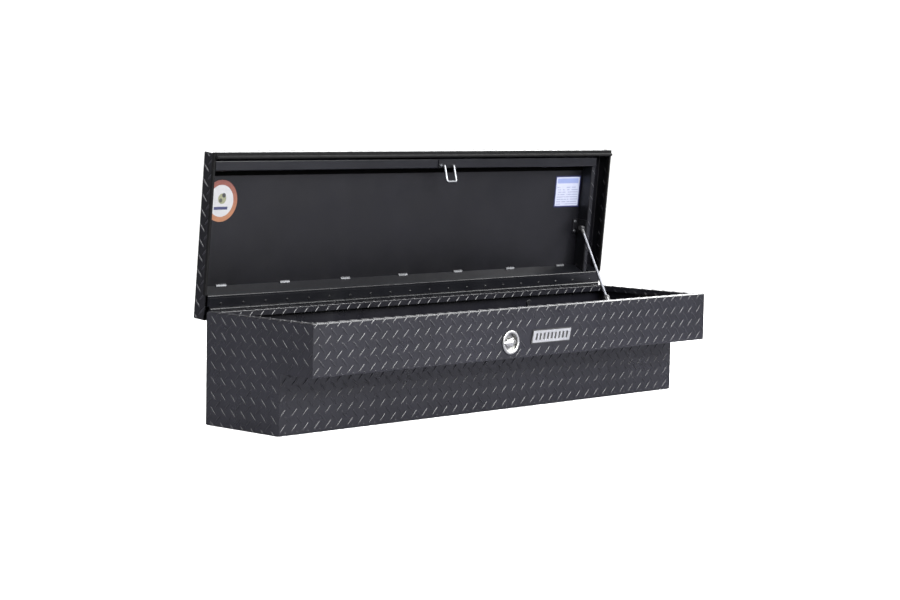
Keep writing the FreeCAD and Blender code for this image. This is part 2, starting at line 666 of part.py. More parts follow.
def lock_point(u, v, w):
    """Point at u right of, w above the lock axis, and v behind the lip's front face."""
    return Vector(LOCK_X + u, Y_FRONT + v, LOCK_Z + w)


def lock_dish():
    """Round dish: raised flange, bowl and long barrel for the spindle."""
    points = [(SHAFT_R + FIT, 43), (13, 43), (13, 14.5), (30.5, 14.5), (30.5, -1.5), (LOCK_FLANGE_R, -1.5),
              (LOCK_FLANGE_R, -2.5), (35.5, -5.2), (31.5, -5.2), (BOWL_R, -3.5), (BOWL_R, 12.5),
              (SHAFT_R + FIT, 12.5)]
    return revolved(points, lock_point(0, 0, 0), Y_AXIS, X_AXIS)


def lock_gasket():
    return revolved([(30.5, 0), (39, 0), (39, -1.5), (30.5, -1.5)], lock_point(0, 0, 0), Y_AXIS, X_AXIS)


def lock_ring_nut():
    ring = revolved([(30.5, SHEET), (39, SHEET), (39, 8), (30.5, 8)], lock_point(0, 0, 0), Y_AXIS, X_AXIS)
    notch = box(LOCK_X - 3, LOCK_X + 3, Y_FRONT + 3, Y_FRONT + 9, LOCK_Z + 36, LOCK_Z + 40)
    notches = []
    for k in range(6):
        turned = notch.copy()
        turned.rotate(lock_point(0, 0, 0), Y_AXIS, 60 * k)
        notches.append(turned)
    return ring.cut(notches)


def lock_spindle():
    """Turning head with the fold lugs and the key boss, on a shaft that steps down to the cam."""
    head = rod(lock_point(0, 9.0, 0), Y_AXIS, HEAD_R, 3.2)
    shaft = rod(lock_point(0, 9.0, 0), Y_AXIS, SHAFT_R, 42.0)
    tip = rod(lock_point(0, 9.0, 0), Y_AXIS, 5.0, 55.5)
    boss = rod(lock_point(KEY_U, 2.0, 0), Y_AXIS, KEY_R + 1.8, 8.0)
    lugs = []
    for w in (-14.0, 11.0):
        lugs.append(rod(lock_point(FOLD_U, FOLD_V, w), Z_AXIS, BARREL_R, 3.0))
        lugs.append(box(LOCK_X + FOLD_U - BARREL_R, LOCK_X + FOLD_U + BARREL_R,
                        Y_FRONT + FOLD_V, Y_FRONT + 10, LOCK_Z + w, LOCK_Z + w + 3))
    cuts = [rod(lock_point(KEY_U, 0, 0), Y_AXIS, KEY_R + FIT, 9.05),
            rod(lock_point(FOLD_U, FOLD_V, -15), Z_AXIS, FOLD_R, 30.0),
            rod(lock_point(0, 54.5, 0), Y_AXIS, 2.0, 12.0)]
    return fuse([head, shaft, tip, boss] + lugs).cut(cuts)


def folding_handle():
    """Wedge-shaped grip with a ridge, tapering from the hinge barrel to a tip over the dish's flange."""
    broad = [(-5.7, -15), (-5.7, 15), (-8.0, 12), (-10.5, 0), (-8.0, -12)]
    narrow = [(-5.7, -2.5), (-5.7, 2.5), (-6.6, 2), (-7.6, 0), (-6.6, -2)]
    wires = []
    for u, section in ((3.0, broad), (-37.0, narrow)):
        corners = [lock_point(u, v, w) for v, w in section]
        wires.append(Part.makePolygon(corners + corners[:1]))
    wedge = Part.makeLoft(wires, True, True)
    block = Part.makeBox(26.0, 10.0, 20.0, lock_point(-23.0, -5.7, -10.0))
    barrel = rod(lock_point(FOLD_U, FOLD_V, -10.5), Z_AXIS, BARREL_R, 21.0)
    web = Part.makeBox(4.0, 6.0, 20.0, lock_point(2.0, -4.0, -10.0))
    pin_hole = rod(lock_point(FOLD_U, FOLD_V, -11), Z_AXIS, FOLD_R + FIT, 22.0)
    return fuse([wedge, block, barrel, web]).cut(pin_hole)


def handle_hinge_pin():
    return rod(lock_point(FOLD_U, FOLD_V, -14), Z_AXIS, FOLD_R, 28.0)


def key_plug():
    plug = rod(lock_point(KEY_U, 1.0, 0), Y_AXIS, KEY_R, 8.0)
    slot = Part.makeBox(1.6, 4.0, 8.0, lock_point(KEY_U - 0.8, 0.5, -4.0))
    return plug.cut(slot)


def crank_pin_point(v):
    swing = math.radians(HANDLE_TURN / 2)
    return lock_point(CRANK * math.sin(swing), v, CRANK * math.cos(swing))


def cam_lever():
    disc = rod(lock_point(0, 64.5, 0), Y_AXIS, 14.0, 5.0)
    holes = [rod(lock_point(0, 64, 0), Y_AXIS, 2.0, 6.0), rod(crank_pin_point(64), Y_AXIS, LINK_R + FIT, 6.0)]
    return disc.cut(holes)


def cam_lever_screw():
    head = rod(lock_point(0, 69.5, 0), Y_AXIS, 4.0, 2.4)
    return fuse([head, rod(lock_point(0, 56.0, 0), Y_AXIS, 2.0, 14.0)])


def hook_pin_x():
    return HOOK_X + CRANK * math.sin(math.radians(HANDLE_TURN / 2))


def link_rod():
    """Bent rod between the cam lever and the hook's lower arm."""
    start = crank_pin_point(61.0)
    bend = crank_pin_point(75.0)
    return bent_rod([start, bend, Vector(hook_pin_x(), bend.y, bend.z), Vector(hook_pin_x(), start.y, bend.z)],
                    LINK_R, 5.0)


def link_rod_clips():
    clips = []
    for x in (crank_pin_point(0).x, hook_pin_x()):
        centre = Vector(x, Y_FRONT + 62.4, crank_pin_point(0).z)
        clips.append(rod(centre, Y_AXIS, 3.6, 1.4).cut(rod(centre, Y_AXIS, LINK_R, 1.4)))
    return group(clips)


def latch_hook():
    """Hook plate, drawn latched over the striker's leg and then turned back to its released place."""
    y0 = HOOK_Y - HOOK_THICK / 2
    outline = [(-8, 0), (12, 0), (15, 42), (15, 55), (27, 55), (27, 58.5), (21, 62.5), (3.5, 62.5), (3.5, 45)]
    radii = [0, 0, 0, 2, 1, 2, 3, 4, 6]
    stem = profile([(HOOK_X + u, HOOK_Z + w) for u, w in outline], radii, on_xz(y0))
    pieces = [stem.extrude(Vector(0, HOOK_THICK, 0)),
              rod(Vector(HOOK_X, y0, HOOK_Z), Y_AXIS, 12.0, HOOK_THICK)]
    arm = box(HOOK_X - 8, HOOK_X + 8, y0, y0 + HOOK_THICK, HOOK_Z - HOOK_LEVER, HOOK_Z)
    end = rod(Vector(HOOK_X, y0, HOOK_Z - HOOK_LEVER), Y_AXIS, 8.0, HOOK_THICK)
    slot_r = LINK_R + 0.6
    play = 2.0
    centre_z = HOOK_Z - HOOK_LEVER
    slot = [rod(Vector(HOOK_X, y0 - 1, centre_z + dz), Y_AXIS, slot_r, HOOK_THICK + 2) for dz in (-play, play)]
    slot.append(box(HOOK_X - slot_r, HOOK_X + slot_r, y0 - 1, y0 + HOOK_THICK + 1,
                    centre_z - play, centre_z + play))
    lower = fuse([arm, end]).cut(fuse(slot))
    pivot = Vector(HOOK_X, 0, HOOK_Z)
    lower.rotate(pivot, Y_AXIS, HOOK_TURN / 2)
    hook = fuse(pieces + [lower]).cut(rod(Vector(HOOK_X, y0 - 1, HOOK_Z), Y_AXIS, 5.0 + FIT, HOOK_THICK + 2))
    hook.rotate(pivot, Y_AXIS, -HOOK_TURN)
    return hook


BRACKET_FACE_Y = HOOK_Y - HOOK_THICK / 2 - 0.4     # back face of the latch bracket's plate


def latch_bracket():
    """Hat bracket welded behind the lip's front wall; its back plate carries the hook's pivot."""
    wall = Y_FRONT + SHEET
    face = BRACKET_FACE_Y
    half = 30.0
    path = [(HOOK_X + half + 20, wall + PLATE), (HOOK_X + half, wall + PLATE), (HOOK_X + half, face),
            (HOOK_X - half, face), (HOOK_X - half, wall + PLATE), (HOOK_X - half - 20, wall + PLATE)]
    bracket = bent_sheet(path, PLATE, 2 * BEND, on_xy(268.0), Vector(0, 0, 48))
    return bracket.cut(rod(Vector(HOOK_X, face - PLATE - 1, HOOK_Z), Y_AXIS, 5.0, PLATE + 2))


def latch_bracket_welds():
    wall = Y_FRONT + SHEET
    beads = []
    for side in (-1, 1):
        x = HOOK_X + side * 50.0
        section = [(x, wall), (x, wall + PLATE), (x + side * 3, wall)]
        beads.append(profile(section, [0] * 3, on_xy(270.0)).extrude(Vector(0, 0, 44)))
    return group(beads)


def hook_pivot_bolt():
    head = hexagon(Vector(HOOK_X, HOOK_Y + HOOK_THICK / 2 + 0.4, HOOK_Z), Y_AXIS, 15.0, 5.0, 0)
    front = BRACKET_FACE_Y - PLATE - 8.0
    length = HOOK_Y + HOOK_THICK / 2 + 0.4 - front
    return fuse([head, rod(Vector(HOOK_X, front, HOOK_Z), Y_AXIS, 5.0, length)])


def hook_pivot_nut():
    return hexagon(Vector(HOOK_X, BRACKET_FACE_Y - PLATE - 6.0, HOOK_Z), Y_AXIS, 15.0, 6.0, 5.0)


# ---------------------------------------------------------------- nameplate and stickers
def slanted_plate(x0, x1, z0, z1, slant, v0, v1):
    points = [(x0, z0), (x1, z0), (x1 + slant, z1), (x0 + slant, z1)]
    return profile(points, [3, 3, 3, 3], on_xz(Y_FRONT + v0)).extrude(Vector(0, v1 - v0, 0))


def nameplate():
    """Bright slanted plate pierced by a row of plain slots."""
    plate = slanted_plate(26.0, 203.0, 228.0, 265.0, 9.0, -5.0, -3.0)
    slots = [slanted_plate(x, x + 9.0, 235.5, 257.5, 5.4, -6.0, -2.0) for x in range(40, 190, 18)]
    return plate.cut(slots)


def nameplate_backing():
    """Black carrier under the nameplate, held by two studs with push nuts behind the wall."""
    carrier = slanted_plate(22.5, 206.5, 224.5, 268.5, 10.7, -3.0, 0.0)
    studs = [rod(Vector(x, Y_FRONT - 1, z), Y_AXIS, 1.5, 11.0) for x, z in NAMEPLATE_STUDS]
    return fuse([carrier] + studs)


def nameplate_push_nuts():
    nuts = []
    for x, z in NAMEPLATE_STUDS:
        centre = Vector(x, Y_FRONT + SHEET, z)
        nuts.append(rod(centre, Y_AXIS, 5.0, 1.5).cut(rod(centre, Y_AXIS, 1.5, 1.5)))
    return group(nuts)


def round_label():
    return rod(Vector(-837.0, Y_BACK - 322.0, SKIN_Z - 0.4), Z_AXIS, 64.0, 0.4)


def square_label():
    return box(687.0, 819.0, Y_BACK - 379.0, Y_BACK - 270.0, SKIN_Z - 0.4, SKIN_Z)


# ---------------------------------------------------------------- export
FIXED = {
    "body_wrap": body_wrap,
    "left_end_plate": lambda: end_plate(-1),
    "right_end_plate": lambda: end_plate(1),
    "left_corner_weld": lambda: corner_weld(-1),
    "right_corner_weld": lambda: corner_weld(1),
    "box_hinge_leaf": box_hinge_leaf,
    "hinge_pin": hinge_pin,
    "box_hinge_rivets": box_hinge_rivets,
    "lock_dish": lock_dish,
    "lock_gasket": lock_gasket,
    "lock_ring_nut": lock_ring_nut,
    "lock_spindle": lock_spindle,
    "folding_handle": folding_handle,
    "handle_hinge_pin": handle_hinge_pin,
    "key_plug": key_plug,
    "cam_lever": cam_lever,
    "cam_lever_screw": cam_lever_screw,
    "link_rod": link_rod,
    "link_rod_clips": link_rod_clips,
    "latch_hook": latch_hook,
    "latch_bracket": latch_bracket,
    "latch_bracket_welds": latch_bracket_welds,
    "hook_pivot_bolt": hook_pivot_bolt,
    "hook_pivot_nut": hook_pivot_nut,
    "nameplate": nameplate,
    "nameplate_backing": nameplate_backing,
    "nameplate_push_nuts": nameplate_push_nuts,
    "lower_strut_bracket": lower_strut_bracket,
    "lower_bracket_rivets": lower_bracket_rivets,
    "lower_ball_stud": lower_ball_stud,
    "lower_stud_nut": stud_nut,
    "cylinder_socket": cylinder_socket,
    "strut_cylinder": strut_cylinder,
    "strut_gland": strut_gland,
    "strut_rod": strut_rod,
    "strut_piston": strut_piston,
    "rod_socket": rod_socket,
    "upper_ball_stud": upper_ball_stud,
}

ON_LID = {
    "lid_pan": lid_pan,
    "front_channel": front_channel,
    "front_channel_sealant": front_channel_sealant,
    "hinge_channel": hinge_channel,
    "strut_channel": strut_channel,
    "channel_stitch_welds": channel_stitch_welds,
    "weather_seal": weather_seal,
    "lid_hinge_leaf": lid_hinge_leaf,
    "lid_hinge_rivets": lid_hinge_rivets,
    "striker_loop": striker_loop,
    "striker_plate": striker_plate,
    "striker_nuts": striker_nuts,
    "striker_screw": striker_screw,
    "upper_strut_bracket": upper_strut_bracket,
    "upper_bracket_bolts": upper_bracket_bolts,
    "round_label": round_label,
    "square_label": square_label,
}


def export(name, shape):
    valid = shape.isValid() and all(solid.Volume > 0 for solid in shape.Solids)
    print(f"{name:24s} solids {len(shape.Solids):3d}  volume {shape.Volume / 1000:10.2f} cm3  valid {valid}")
    shape.exportStep(f"parts/{name}.step")


def main():
    os.makedirs("parts", exist_ok=True)
    for name, make in FIXED.items():
        export(name, make())
    for name, make in ON_LID.items():
        export(name, opened(make()))
    print(f"hook turn {HOOK_TURN:.4f} deg, strut open {strut_length():.3f} mm, head {strut_head_open()}")


main()
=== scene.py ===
import json
import math

import bmesh
import bpy
import numpy as np
from mathutils import Matrix, Vector


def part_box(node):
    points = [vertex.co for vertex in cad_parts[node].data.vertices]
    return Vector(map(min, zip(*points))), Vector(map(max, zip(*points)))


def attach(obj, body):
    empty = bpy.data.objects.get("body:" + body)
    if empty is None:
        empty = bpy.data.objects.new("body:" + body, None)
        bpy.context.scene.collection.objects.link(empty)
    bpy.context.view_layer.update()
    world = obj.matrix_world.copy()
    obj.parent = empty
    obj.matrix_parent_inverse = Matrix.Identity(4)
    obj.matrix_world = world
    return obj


# Truck tool box: finishes, raised tread bars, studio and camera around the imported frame. The lid is
# stored open, so places on it are worked out with the lid shut and then swung open.

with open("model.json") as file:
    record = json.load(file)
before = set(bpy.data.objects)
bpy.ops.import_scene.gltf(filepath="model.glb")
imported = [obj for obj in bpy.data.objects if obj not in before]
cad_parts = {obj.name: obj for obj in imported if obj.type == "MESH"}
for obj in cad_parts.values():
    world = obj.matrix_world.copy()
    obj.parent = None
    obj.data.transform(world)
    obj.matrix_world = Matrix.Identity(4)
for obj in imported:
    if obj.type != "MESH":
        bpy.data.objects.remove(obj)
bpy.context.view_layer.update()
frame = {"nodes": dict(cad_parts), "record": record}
record = frame["record"]
nodes = frame["nodes"]

MM = 0.001

# ------------------------------------------------------------------ places read from the CAD
joint = {j["name"]: j for j in record["behaviour"]["joints"]}
hinge = Vector(joint["lid_hinge"]["pos_m"])
open_angle = math.radians(joint["lid_hinge"]["range_deg"][1])
swing_open = (Matrix.Translation(hinge) @ Matrix.Rotation(-open_angle, 4, "X")
              @ Matrix.Translation(-hinge))
swing_shut = swing_open.inverted()
mount = {m["name"]: m for m in record["mounts"]}


def moved(points, matrix):
    """An array of points, each moved by the matrix."""
    turn = np.array(matrix)
    return points @ turn[:3, :3].T + turn[:3, 3]


def node_points(name):
    """A node's vertices as an array."""
    mesh = nodes[name].data
    flat = np.empty(len(mesh.vertices) * 3, dtype=np.float64)
    mesh.vertices.foreach_get("co", flat)
    return flat.reshape(-1, 3)


def shut_box(name):
    """Lowest and highest corners of a lid node, as it lies when the lid is shut."""
    points = moved(node_points(name), swing_shut)
    return points.min(axis=0), points.max(axis=0)


# ------------------------------------------------------------------ node helpers
class Nodes:
    """A material's node tree, with short calls for the nodes used here."""

    def __init__(self, name):
        self.material = bpy.data.materials.new(name)
        self.material.use_nodes = True
        self.tree = self.material.node_tree
        self.shader = self.tree.nodes["Principled BSDF"]
        self.place = self.tree.nodes.new("ShaderNodeTexCoord").outputs["Object"]

    def add(self, kind, **settings):
        node = self.tree.nodes.new(kind)
        for key, value in settings.items():
            setattr(node, key, value)
        return node

    def link(self, source, target):
        self.tree.links.new(source, target)

    def feed(self, socket, value):
        """Sets a socket to a number or a colour, or links an output to it."""
        if isinstance(value, (int, float)):
            socket.default_value = value
        elif isinstance(value, tuple):
            socket.default_value = (*value, 1.0)
        else:
            self.link(value, socket)

    def noise(self, scale, detail=4.0, stretch=None):
        """Noise in the object's own place, finer along the axes that stretch makes large."""
        node = self.add("ShaderNodeTexNoise")
        node.inputs["Scale"].default_value = scale
        node.inputs["Detail"].default_value = detail
        if stretch is None:
            self.link(self.place, node.inputs["Vector"])
        else:
            mapping = self.add("ShaderNodeMapping")
            mapping.inputs["Scale"].default_value = stretch
            self.link(self.place, mapping.inputs["Vector"])
            self.link(mapping.outputs["Vector"], node.inputs["Vector"])
        return node.outputs["Fac"]

    def ramp(self, source, stops):
        """A value turned into a colour through (position, colour) stops."""
        node = self.add("ShaderNodeValToRGB")
        elements = node.color_ramp.elements
        while len(elements) < len(stops):
            elements.new(0.5)
        for element, (position, colour) in zip(elements, stops):
            element.position = position
            element.color = (*colour, 1.0)
        self.link(source, node.inputs["Fac"])
        return node.outputs["Color"]

    def span(self, source, low, high):
        """A noise's middle range, stretched to run from low to high."""
        node = self.add("ShaderNodeMapRange")
        node.inputs["From Min"].default_value = 0.3
        node.inputs["From Max"].default_value = 0.7
        node.inputs["To Min"].default_value = low
        node.inputs["To Max"].default_value = high
        self.link(source, node.inputs["Value"])
        return node.outputs["Result"]

    def math(self, operation, first, second=0.0):
        node = self.add("ShaderNodeMath", operation=operation)
        self.feed(node.inputs[0], first)
        self.feed(node.inputs[1], second)
        return node.outputs["Value"]

    def both(self, first, second):
        return self.math("MULTIPLY", first, second)

    def within(self, value, low, high):
        """1 where a value lies between two bounds, and 0 elsewhere."""
        return self.both(self.math("GREATER_THAN", value, low), self.math("LESS_THAN", value, high))

    def mix(self, factor, first, second):
        """The first colour where factor is 0 and the second where it is 1."""
        node = self.add("ShaderNodeMix", data_type="RGBA")
        factor_in, first_in, second_in = (node.inputs[index] for index in (0, 6, 7))
        self.feed(factor_in, factor)
        self.feed(first_in, first)
        self.feed(second_in, second)
        return node.outputs[2]

    def offset_from(self, point):
        """X and Z distances of the shaded place from a point."""
        away = self.add("ShaderNodeVectorMath", operation="SUBTRACT")
        away.inputs[1].default_value = point
        self.link(self.place, away.inputs[0])
        split = self.add("ShaderNodeSeparateXYZ")
        self.link(away.outputs["Vector"], split.inputs["Vector"])
        return split.outputs["X"], split.outputs["Z"]

    def bump(self, height, strength, distance, edge=0.0):
        """Surface relief; edge is the radius that sharp corners are shaded with."""
        node = self.add("ShaderNodeBump")
        node.inputs["Strength"].default_value = strength
        node.inputs["Distance"].default_value = distance
        self.link(height, node.inputs["Height"])
        if edge > 0:
            soft = self.add("ShaderNodeBevel", samples=4)
            soft.inputs["Radius"].default_value = edge
            self.link(soft.outputs["Normal"], node.inputs["Normal"])
        self.link(node.outputs["Normal"], self.shader.inputs["Normal"])

    def put(self, **values):
        """Feeds the shader's sockets, named with underscores, and gives the finished material."""
        for key, value in values.items():
            self.feed(self.shader.inputs[key.replace("_", " ")], value)
        return self.material


# ------------------------------------------------------------------ materials
def powder_coat(name, dark, light, rough, grain=1.0, edge=0.0, gloss=0.5):
    """Black powder coat: fine orange peel, faint dusty patches and uneven sheen."""
    n = Nodes(name)
    patches = n.noise(6.0, 6.0)
    n.bump(n.math("ADD", n.noise(1100.0, 2.0), n.math("MULTIPLY", n.noise(260.0, 3.0), 0.6)),
           0.22 * grain, 0.0006, edge)
    return n.put(Base_Color=n.ramp(patches, [(0.30, dark), (0.72, light)]),
                 Roughness=n.span(n.noise(14.0, 5.0), rough - 0.025, rough + 0.035),
                 Specular_IOR_Level=gloss)


def metal(name, colour, rough, stretch, tint=0.12, edge=0.0004):
    """Bare or plated metal with a brushed grain along one direction."""
    n = Nodes(name)
    grain = n.noise(900.0, 3.0, stretch)
    darker = tuple(c * (1 - tint) for c in colour)
    n.bump(grain, 0.10, 0.0002, edge)
    return n.put(Base_Color=n.ramp(n.noise(40.0, 5.0), [(0.3, darker), (0.7, colour)]), Metallic=1.0,
                 Roughness=n.span(grain, rough - 0.06, rough + 0.08))


def plastic(name, dark, light, rough, edge=0.0003, gloss=0.5):
    """Moulded plastic, rubber or gloss paint, with a fine grain."""
    n = Nodes(name)
    n.bump(n.noise(1500.0, 2.0), 0.15, 0.0003, edge)
    return n.put(Base_Color=n.ramp(n.noise(30.0, 4.0), [(0.3, dark), (0.7, light)]),
                 Roughness=n.span(n.noise(80.0, 3.0), rough - 0.06, rough + 0.06),
                 Specular_IOR_Level=gloss)


coat = powder_coat("black_powder_coat", (0.0022, 0.0022, 0.0036), (0.0036, 0.0036, 0.0056), 0.29)
# Painted highlight: the tread bars wear the same powder coat as the sheet, but with a lighter base colour
# that stands in for the light their flanks catch.
coat_lug_painted_highlight = powder_coat("black_powder_coat_lugs_painted_highlight", (0.0040, 0.0040, 0.0056), (0.0070, 0.0070, 0.0092), 0.31)
# Painted shade: the lid's smooth inner face is the same powder coat with a darker base colour, standing in
# for the shade it lies in.
coat_inner_painted_shade = powder_coat("black_powder_coat_smooth_painted_shade", (0.0010, 0.0010, 0.0016), (0.0018, 0.0018, 0.0028), 0.34,
                         grain=0.7, gloss=0.30)
coat_channel = powder_coat("channel_powder_coat", (0.0014, 0.0015, 0.0022), (0.0023, 0.0025, 0.0036), 0.30,
                           grain=0.6, gloss=0.33)
coat_steel = powder_coat("bracket_paint", (0.0016, 0.0016, 0.0022), (0.0030, 0.0030, 0.0038), 0.36,
                         edge=0.0004, gloss=0.25)
weld_paint = powder_coat("painted_weld", (0.0040, 0.0040, 0.0052), (0.0070, 0.0070, 0.0085), 0.34, grain=3.0)
zinc = metal("zinc_plate", (0.17, 0.175, 0.185), 0.42, (1.0, 1.0, 1.0), tint=0.2)
stainless = metal("stainless_satin", (0.46, 0.46, 0.45), 0.42, (1.0, 1.0, 0.08))
brushed = metal("stainless_brushed", (0.36, 0.36, 0.35), 0.38, (0.05, 1.0, 1.0))
chrome = metal("hard_chrome", (0.075, 0.077, 0.085), 0.36, (1.0, 0.1, 0.1), tint=0.05)
bare_weld = metal("bare_weld", (0.11, 0.112, 0.118), 0.55, (1.0, 1.0, 1.0), tint=0.3)
plate_bright = metal("nameplate_brushed", (0.54, 0.545, 0.55), 0.38, (0.03, 1.0, 1.0), tint=0.06)
rubber = plastic("seal_rubber", (0.0012, 0.0012, 0.0014), (0.0022, 0.0022, 0.0025), 0.72,
                 edge=0.0, gloss=0.10)
# Painted shadow: the sealant bead along the front channel's foot is made nearly black, matt and glossless to
# stand in for the channel's shadow on the skin.
sealant = plastic("black_sealant_painted_shadow", (0.0003, 0.0003, 0.0003), (0.0006, 0.0006, 0.0006), 0.85,
                  edge=0.0, gloss=0.02)
strut_paint = plastic("strut_gloss_paint", (0.006, 0.006, 0.007), (0.010, 0.010, 0.011), 0.20)
black_plastic = plastic("moulded_black", (0.010, 0.010, 0.011), (0.018, 0.018, 0.019), 0.48)


def round_label_material():
    """Printed film: orange border, pale middle, three plain blobs and one bar, no wording."""
    n = Nodes("round_label_film")
    low, high = shut_box("round_label")
    centre = Vector(((low[0] + high[0]) / 2, (low[1] + high[1]) / 2, low[2]))
    radius = (high[0] - low[0]) / 2
    x, z = (n.math("DIVIDE", offset, radius) for offset in n.offset_from(swing_open @ centre))
    reach = n.math("SQRT", n.math("ADD", n.math("MULTIPLY", x, x), n.math("MULTIPLY", z, z)))
    print_grain = n.noise(240.0, 3.0)
    shade = n.math("ADD", n.math("MULTIPLY", z, 0.5), n.math("MULTIPLY", print_grain, 0.9))
    orange = n.ramp(shade, [(0.1, (0.120, 0.050, 0.022)), (0.8, (0.074, 0.020, 0.014))])
    white = n.mix(print_grain, (0.143, 0.145, 0.151), (0.164, 0.164, 0.168))
    colour = n.mix(n.math("GREATER_THAN", reach, 0.76), white, orange)

    def blob(cx, cz, size):
        dx = n.math("SUBTRACT", x, cx)
        dz = n.math("SUBTRACT", z, cz)
        away = n.math("ADD", n.math("MULTIPLY", dx, dx), n.math("MULTIPLY", dz, dz))
        return n.math("LESS_THAN", away, size * size)

    colour = n.mix(blob(0.06, 0.10, 0.25), colour, (0.084, 0.086, 0.050))
    colour = n.mix(blob(0.16, 0.26, 0.11), colour, (0.013, 0.013, 0.013))
    colour = n.mix(blob(-0.02, 0.02, 0.10), colour, (0.025, 0.026, 0.021))
    bar = n.both(n.within(x, -0.42, 0.42), n.within(z, -0.42, -0.28))
    colour = n.mix(bar, colour, (0.011, 0.013, 0.042))
    n.bump(n.noise(30.0, 2.0), 0.05, 0.0004)
    return n.put(Base_Color=colour, Roughness=0.35)


def square_label_material():
    """Printed film: pale sheet with a blue band and rows of faint grey bars, no wording."""
    n = Nodes("square_label_film")
    low, high = shut_box("square_label")
    corner = Vector((low[0], high[1], low[2]))
    from_left, from_foot = n.offset_from(swing_open @ corner)
    across = n.math("DIVIDE", from_left, high[0] - low[0])
    up = n.math("DIVIDE", from_foot, high[1] - low[1])
    grain = n.noise(240.0, 3.0)
    white = n.mix(grain, (0.152, 0.161, 0.205), (0.177, 0.186, 0.232))
    rows_of_bars = 13.0
    line = n.math("LESS_THAN", n.math("FRACT", n.math("MULTIPLY", up, rows_of_bars)), 0.42)
    ragged = n.math("GREATER_THAN", n.noise(120.0, 1.0, (1.0, 0.02, 0.4)), 0.46)
    margin = n.within(across, 0.08, 0.92)
    printed = n.both(n.both(line, ragged), n.both(n.within(up, 0.08, 0.66), margin))
    colour = n.mix(printed, white, (0.091, 0.100, 0.145))
    colour = n.mix(n.both(n.within(up, 0.76, 0.92), margin), colour, (0.080, 0.097, 0.178))
    inside_border = n.both(n.within(across, 0.04, 0.96), n.within(up, 0.04, 0.96))
    colour = n.mix(inside_border, (0.006, 0.007, 0.032), colour)
    n.bump(n.noise(30.0, 2.0), 0.05, 0.0004)
    return n.put(Base_Color=colour, Roughness=0.35)


finish_of = {
    "body_wrap": coat, "left_end_plate": coat, "right_end_plate": coat,
    "left_corner_weld": weld_paint, "right_corner_weld": weld_paint,
    "box_hinge_leaf": coat_channel, "hinge_pin": coat_steel, "box_hinge_rivets": coat_steel,
    "lock_dish": stainless, "lock_gasket": rubber, "lock_ring_nut": zinc, "lock_spindle": brushed,
    "folding_handle": stainless, "handle_hinge_pin": zinc, "key_plug": brushed, "cam_lever": zinc,
    "cam_lever_screw": zinc, "link_rod": zinc, "link_rod_clips": zinc, "latch_hook": coat_steel,
    "latch_bracket": coat_steel, "latch_bracket_welds": weld_paint, "hook_pivot_bolt": zinc,
    "hook_pivot_nut": zinc, "nameplate": plate_bright, "nameplate_backing": black_plastic,
    "nameplate_push_nuts": zinc, "lower_strut_bracket": coat_steel, "lower_bracket_rivets": zinc,
    "lower_ball_stud": zinc, "lower_stud_nut": zinc, "cylinder_socket": black_plastic,
    "strut_cylinder": strut_paint, "strut_gland": black_plastic, "strut_rod": chrome,
    "strut_piston": black_plastic, "rod_socket": black_plastic, "upper_ball_stud": zinc,
    "lid_pan": coat_inner_painted_shade, "front_channel": coat_channel, "hinge_channel": coat_channel,
    "strut_channel": coat_channel, "channel_stitch_welds": bare_weld,
    "front_channel_sealant": sealant, "weather_seal": rubber,
    "lid_hinge_leaf": coat_channel, "lid_hinge_rivets": coat_steel, "striker_loop": zinc,
    "striker_plate": coat_steel, "striker_nuts": zinc, "striker_screw": zinc,
    "upper_strut_bracket": coat_steel, "upper_bracket_bolts": zinc,
    "round_label": round_label_material(), "square_label": square_label_material(),
}
for name, node in nodes.items():
    node.data.materials.clear()
    node.data.materials.append(finish_of[name])


# ------------------------------------------------------------------ tread pattern
PITCH = 45.5 * MM          # spacing of the bars that lean one way
HALF_LONG = 19.5 * MM
HALF_WIDE = 3.6 * MM
PROUD = 1.4 * MM           # height of a bar above the sheet
SUNK = 0.3 * MM            # how far its base sits in the sheet
BOW = 0.9 * MM             # a bar's slight curve
FEWEST_INSIDE = 8          # a bar with fewer points inside its sheet is left out


def bar_template():
    """One lens-shaped bar along u: (u, v, height) points and its faces, closed underneath."""
    stations = np.linspace(-1, 1, 11)[1:-1]
    across = (-1.0, -0.55, 0.0, 0.55, 1.0)
    wide = len(across)
    points = [(-HALF_LONG, 0.0, -SUNK)]
    for t in stations:
        lens = (1 - t * t) ** 0.6
        for w in across:
            crown = (1 - w * w) * (1 - t ** 4)
            points.append((t * HALF_LONG, w * HALF_WIDE * lens + BOW * (1 - t * t) - BOW / 2,
                           -SUNK + (PROUD + SUNK) * crown))
    points.append((HALF_LONG, 0.0, -SUNK))
    last = len(points) - 1
    faces = []
    for k in range(wide - 1):
        faces.append((0, 2 + k, 1 + k))
        faces.append((last, last - wide + k, last - wide + 1 + k))
    for row in range(len(stations) - 1):
        for k in range(wide - 1):
            a = 1 + row * wide + k
            faces.append((a, a + 1, a + wide + 1, a + wide))
    right = [1 + row * wide for row in range(len(stations))]
    left = [wide + row * wide for row in range(len(stations))]
    faces.append(tuple([0] + right + [last] + left[::-1]))
    return np.array(points), faces


BAR_POINTS, BAR_FACES = bar_template()


